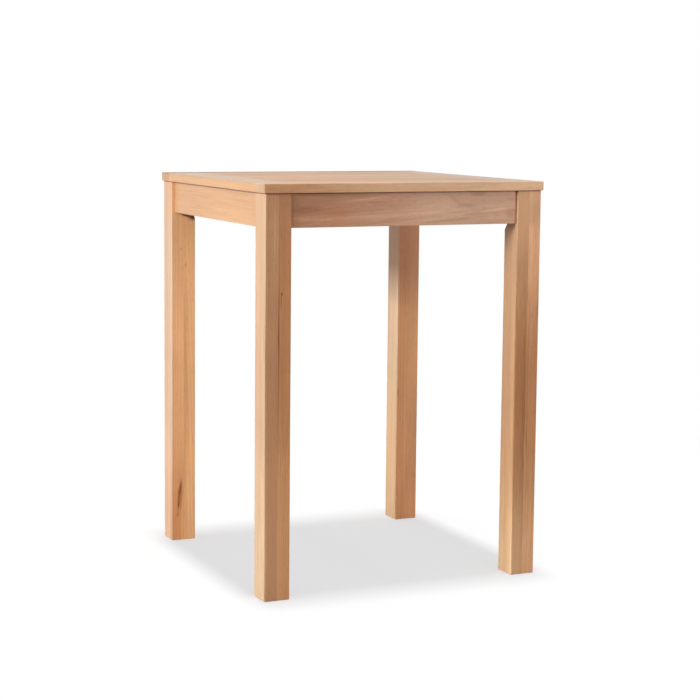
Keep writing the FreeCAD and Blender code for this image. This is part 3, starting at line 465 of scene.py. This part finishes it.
# Top
# Two rails run the full width, at the front and the back, with their end grain showing. Two wide stiles are
# joined between them. Seven slats lie between the stiles, with their tongues in the stiles' grooves and a
# drain gap from one to the next. All are oiled.
top_boards = {
    "top_front_rail": ("X", dict(
        wood=(0.680, 0.380, 0.203), banding=0.3,
        marks=[((0.000, 0.000, 0.012), (0.260, 0.012, 0.080), (0.82, 0.70, 0.60), 1.0),
               ((0.400, 0.000, 0.012), (0.180, 0.012, 0.080), (1.03, 1.06, 1.07), 1.0),
               # The third mark is painted sheen: the right part of the top face is tinted greyer and bluer,
               # like glare.
               ((0.600, 0.034, 0.024), (0.300, 4.000, 0.006), (0.88, 0.98, 1.05), 1.0, 0.0, 0.2),
               ((0.000, 0.034, 0.012), (0.006, 0.300, 0.300), (0.90, 0.84, 0.83), 1.0, 0.0, 0.2)])),
    "top_back_rail": ("X", dict(
        wood=(0.54, 0.295, 0.155), banding=0.3, polish=0.0,
        # The first mark is painted sheen: the whole top face is tinted darker, greyer and bluer, like glare.
        marks=[((0.400, 0.035, 0.024), (4.000, 2.000, 0.006), (0.71, 0.74, 0.79), 1.0, 0.0, 0.2),
               ((0.000, 0.033, 0.012), (0.006, 0.300, 0.300), (1.10, 0.98, 0.97), 1.0, 0.0, 0.2)])),
    "top_left_stile": ("Y", dict(
        wood=(0.576, 0.257, 0.089), polish=0.6, banding=0.25,
        # The first mark is painted sheen: the top face is tinted greyer and bluer, like glare.
        marks=[((0.045, 0.360, 0.024), (0.300, 4.000, 0.006), (0.76, 0.84, 0.90), 1.0, 0.0, 0.2),
               # The second mark is painted shade: the lower left arris is tinted browner, in the dark line
               # under the top's edge.
               ((0.000, 0.360, 0.000), (0.060, 4.000, 0.004), (0.95, 0.74, 0.45), 1.0, 0.0, 0.1),
               ((0.000, 0.025, 0.012), (0.006, 0.150, 0.300), (0.95, 0.93, 0.91), 1.0, 0.0, 0.2)])),
    "top_right_stile": ("Y", dict(
        wood=(0.40, 0.215, 0.115), polish=0.45, banding=0.3)),
}
slat_tones = (1.0, 0.93, 1.04, 0.97, 1.06, 0.92, 1.0)
for number, tone in enumerate(slat_tones, 1):
    top_boards[f"top_slat_{number}"] = ("X", dict(
        wood=(0.622 * tone, 0.318 * tone, 0.149 * tone), lean=(0.8, 0.5 * (number % 3)),
        pith=(0.06 + 0.02 * (number % 3), -0.05 + 0.03 * (number % 4)),
        # This mark is painted sheen: the slat's top face is tinted a little greyer and bluer, like glare.
        marks=[((0.524, 0.045, 0.024), (0.300, 4.000, 0.006), (0.92, 0.98, 1.02), 1.0, 0.0, 0.2)]))
# How wide the dark line is where a stile's end meets a rail, and how strong.
STILE_END_LINE, STILE_END_DARK = 0.0006, 0.7
for node, (grain, board) in top_boards.items():
    low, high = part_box(node)
    gaps = [((-1, -1, 0), (1, low.y + STILE_END_LINE, 2), STILE_END_DARK),
            ((-1, high.y - STILE_END_LINE, 0), (1, 1, 2), STILE_END_DARK)]
    cut_board(node, grain, gaps=gaps if grain == "Y" else (), **board)


# Centre batten
# One flat, unoiled board runs under the slats from the front apron to the back one. Screws go up through it
# into each slat and both rails, which keeps them level.
cut_board("centre_batten", "Y", INNER_WOOD, pith=(0.05, 0.04))


# Bolts, washers, nuts and screws
# The leg bolts, their washers and nuts are zinc plated, in a pale, slightly patchy grey. The screws are
# plain stainless steel, and a little darker.

# How often the steel changes in a metre: its patches of tone and gloss, and the fine marks of the tools.
STEEL_PATCHES, TOOL_MARKS = (160.0, 160.0, 160.0), (2600.0, 2600.0, 700.0)


def make_steel(name, color, roughness, spots):
    """Steel with small patches that are spots times as bright, and with fine marks of the tools."""
    material = bpy.data.materials.new(name)
    material.use_nodes = True
    tree = material.node_tree
    tree.nodes.clear()
    where = add_node(tree, "ShaderNodeTexCoord").outputs
    patches = streaks(tree, where["Object"], STEEL_PATCHES, 3.0).outputs["Fac"]
    marks = streaks(tree, where["Object"], TOOL_MARKS, 2.0).outputs["Fac"]
    darker = tuple(part * spots for part in color)
    tone = tint(tree, ramp(tree, patches, 0.35, 0.65), (*color, 1.0), (*darker, 1.0))
    gloss = reckon(tree, "MULTIPLY_ADD", patches, 0.16, roughness - 0.08)
    bump = add_node(tree, "ShaderNodeBump", {"Strength": 0.3, "Distance": 0.0001, "Height": marks})
    surface = add_node(tree, "ShaderNodeBsdfPrincipled", {
        "Base Color": tone, "Roughness": gloss, "Metallic": 1.0, "Normal": bump.outputs["Normal"]})
    add_node(tree, "ShaderNodeOutputMaterial", {"Surface": surface.outputs[0]})
    return material


zinc_plate = make_steel("zinc_plate", (0.66, 0.67, 0.66), 0.34, 0.82)
stainless = make_steel("stainless", (0.58, 0.57, 0.54), 0.30, 0.86)
for corner in CORNERS:
    for part, steel in (("hanger_bolts", zinc_plate), ("bolt_washers", zinc_plate),
                        ("bolt_nuts", zinc_plate), ("block_screws", stainless)):
        dress(f"{corner}_{part}", steel)
for node in ("front_cleat_screws", "right_cleat_screws", "back_cleat_screws", "left_cleat_screws",
             "batten_screws"):
    dress(node, stainless)


# Studio floor
# A white sweep. It is lit only from above, so the one shadow on it is the soft one under the table, and
# away from the table it runs out into the white of the room.

# How much dimmer the studio is to a gloss out in front of the table than at the back.
DIM_FRONT = 0.8


def rays_that_look(tree):
    """One for what the camera, a gloss or a glass sees, and nought for light on its way."""
    rays = add_node(tree, "ShaderNodeLightPath").outputs
    return reckon(tree, "MAXIMUM", rays["Is Camera Ray"],
                  reckon(tree, "MAXIMUM", rays["Is Glossy Ray"], rays["Is Transmission Ray"]))


def white_seen(tree, way):
    """How white the studio is that way: full white, but to a gloss it is dimmer out in front."""
    rays = add_node(tree, "ShaderNodeLightPath").outputs
    towards_back = add_node(tree, "ShaderNodeSeparateXYZ", {
        "Vector": reckon_points(tree, "NORMALIZE", way)}).outputs["Y"]
    dimming = ramp(tree, towards_back, -0.35, 0.15, DIM_FRONT, 0.0)
    return reckon(tree, "SUBTRACT", 1.0, reckon(tree, "MULTIPLY", dimming, rays["Is Glossy Ray"]))


FLOOR_HALF = 12.0
# The floor glows by itself and takes this much of the light on it. To light on its way it is a plain grey.
FLOOR_GLOW, FLOOR_TAKES, FLOOR_GREY = (0.500, 0.522, 0.563), (0.48, 0.48, 0.48), (0.30, 0.30, 0.30)
# It goes over into the white of the room between these distances from the table's middle.
FADE_STARTS, FADE_ENDS = 1.1, 2.4
floor_mesh = bpy.data.meshes.new("studio_floor")
floor_mesh.from_pydata([(-FLOOR_HALF, -FLOOR_HALF, 0), (FLOOR_HALF, -FLOOR_HALF, 0),
                        (FLOOR_HALF, FLOOR_HALF, 0), (-FLOOR_HALF, FLOOR_HALF, 0)], [], [(0, 1, 2, 3)])
floor = bpy.data.objects.new("studio_floor", floor_mesh)
bpy.context.scene.collection.objects.link(floor)
floor_paint = bpy.data.materials.new("white_floor")
floor_paint.use_nodes = True
tree = floor_paint.node_tree
tree.nodes.clear()
spot = add_node(tree, "ShaderNodeTexCoord").outputs["Object"]
far_off = ramp(tree, reckon_points(tree, "LENGTH", spot), FADE_STARTS, FADE_ENDS)
plain = add_node(tree, "ShaderNodeBsdfDiffuse", {"Color": (*FLOOR_GREY, 1.0)})
shaded = add_node(tree, "ShaderNodeBsdfDiffuse", {"Color": (*FLOOR_TAKES, 1.0)})
glow = add_node(tree, "ShaderNodeEmission", {"Color": (*FLOOR_GLOW, 1.0), "Strength": 1.0})
near_by = add_node(tree, "ShaderNodeAddShader", {0: shaded.outputs[0], 1: glow.outputs[0]})
white = add_node(tree, "ShaderNodeEmission", {
    "Color": (1.0, 1.0, 1.0, 1.0), "Strength": white_seen(tree, spot)})
shown = add_node(tree, "ShaderNodeMixShader", {0: far_off, 1: near_by.outputs[0], 2: white.outputs[0]})
choice = add_node(tree, "ShaderNodeMixShader", {
    0: rays_that_look(tree), 1: plain.outputs[0], 2: shown.outputs[0]})
add_node(tree, "ShaderNodeOutputMaterial", {"Surface": choice.outputs[0]})
floor_mesh.materials.append(floor_paint)


# Studio light
# A long soft box and a small lamp stand at the left front, a soft box at the right front, and two more
# light the sides away from the camera. High overhead, one light is for the table and one for the floor.
def hang_light(name, place, aim, width, height, power, color=(1.0, 1.0, 1.0)):
    """A flat lamp that faces the point it is aimed at."""
    lamp = bpy.data.lights.new(name, "AREA")
    lamp.shape, lamp.size, lamp.size_y = "RECTANGLE", width, height
    lamp.energy, lamp.color = power, color
    holder = bpy.data.objects.new(name, lamp)
    bpy.context.scene.collection.objects.link(holder)
    holder.location = place
    holder.rotation_euler = (Vector(aim) - Vector(place)).to_track_quat("-Z", "Y").to_euler()
    holder.visible_camera = False
    return holder


TABLE_HEART = (0.0, 0.0, 0.8)
COOL_WHITE, DAY_WHITE, SKY_WHITE = (0.80, 1.03, 1.20), (0.92, 0.98, 1.10), (0.95, 1.00, 1.06)
floor_lamp = hang_light("floor_lamp", (0.0, 0.0, 20.0), TABLE_HEART, 1.2, 2.9, 2050.0)
table_lamps = [
    hang_light("overhead", (0.0, 0.0, 20.0), TABLE_HEART, 1.4, 3.2, 480.0, SKY_WHITE),
    hang_light("long_box", (-6.20, -1.40, 2.81), TABLE_HEART, 1.90, 0.90, 438.0, COOL_WHITE),
    hang_light("small_lamp", (-4.30, -3.13, 2.51), TABLE_HEART, 0.08, 0.08, 46.0),
    hang_light("right_front_box", (1.40, -2.10, 1.35), TABLE_HEART, 1.00, 0.60, 10.3, DAY_WHITE),
    hang_light("right_box", (3.20, 0.40, 1.60), TABLE_HEART, 1.40, 1.00, 30.0),
    hang_light("back_box", (0.60, 3.40, 1.60), TABLE_HEART, 1.40, 1.00, 30.0),
]
table_lamps[-1].visible_glossy = False
table_alone, floor_alone = bpy.data.collections.new("table_alone"), bpy.data.collections.new("floor_alone")
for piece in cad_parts.values():
    table_alone.objects.link(piece)
floor_alone.objects.link(floor)
floor_lamp.light_linking.receiver_collection = floor_alone
for lamp in table_lamps:
    lamp.light_linking.receiver_collection = table_alone

ROOM_LIGHT, WARM_WHITE = 0.54, (1.05, 1.01, 0.85)
room = bpy.data.worlds.new("white_room")
bpy.context.scene.world = room
room.use_nodes = True
tree = room.node_tree
tree.nodes.clear()
way = add_node(tree, "ShaderNodeTexCoord").outputs["Generated"]
lit = add_node(tree, "ShaderNodeBackground", {"Color": (*WARM_WHITE, 1.0), "Strength": ROOM_LIGHT})
walls = add_node(tree, "ShaderNodeBackground", {
    "Color": (1.0, 1.0, 1.0, 1.0), "Strength": white_seen(tree, way)})
choice = add_node(tree, "ShaderNodeMixShader", {
    0: rays_that_look(tree), 1: lit.outputs[0], 2: walls.outputs[0]})
add_node(tree, "ShaderNodeOutputWorld", {"Surface": choice.outputs[0]})
bpy.context.scene.view_settings.view_transform = "Standard"


# Camera
# A long lens stands about five metres off, to the left of the front and a little above the table top. It
# looks slightly down. Its shift is small, so that the table stays in the picture from the other sides too.
CAMERA_PLACE = (-2.0796, -4.6093, 1.2600)
LOOK_TURN, LOOK_DOWN, LOOK_ROLL = map(math.radians, (-24.471, 6.533, 0.564))
LENS_IN_PIXELS, PICTURE_WIDTH = 1819.78, 700
camera_data = bpy.data.cameras.new("camera")
camera_data.sensor_width = 36.0
camera_data.lens = LENS_IN_PIXELS / PICTURE_WIDTH * camera_data.sensor_width
camera_data.shift_y = -0.05
camera_data.clip_end = 200.0
camera = bpy.data.objects.new("camera", camera_data)
bpy.context.scene.collection.objects.link(camera)
away = Vector((math.sin(LOOK_TURN) * math.cos(LOOK_DOWN), -math.cos(LOOK_TURN) * math.cos(LOOK_DOWN),
               math.sin(LOOK_DOWN)))
across = Vector((0, 0, 1)).cross(away).normalized()
upward = away.cross(across)
right = math.cos(LOOK_ROLL) * across + math.sin(LOOK_ROLL) * upward
top = -math.sin(LOOK_ROLL) * across + math.cos(LOOK_ROLL) * upward
camera.matrix_world = Matrix.Translation(CAMERA_PLACE) @ Matrix((right, top, away)).transposed().to_4x4()
bpy.context.scene.camera = camera
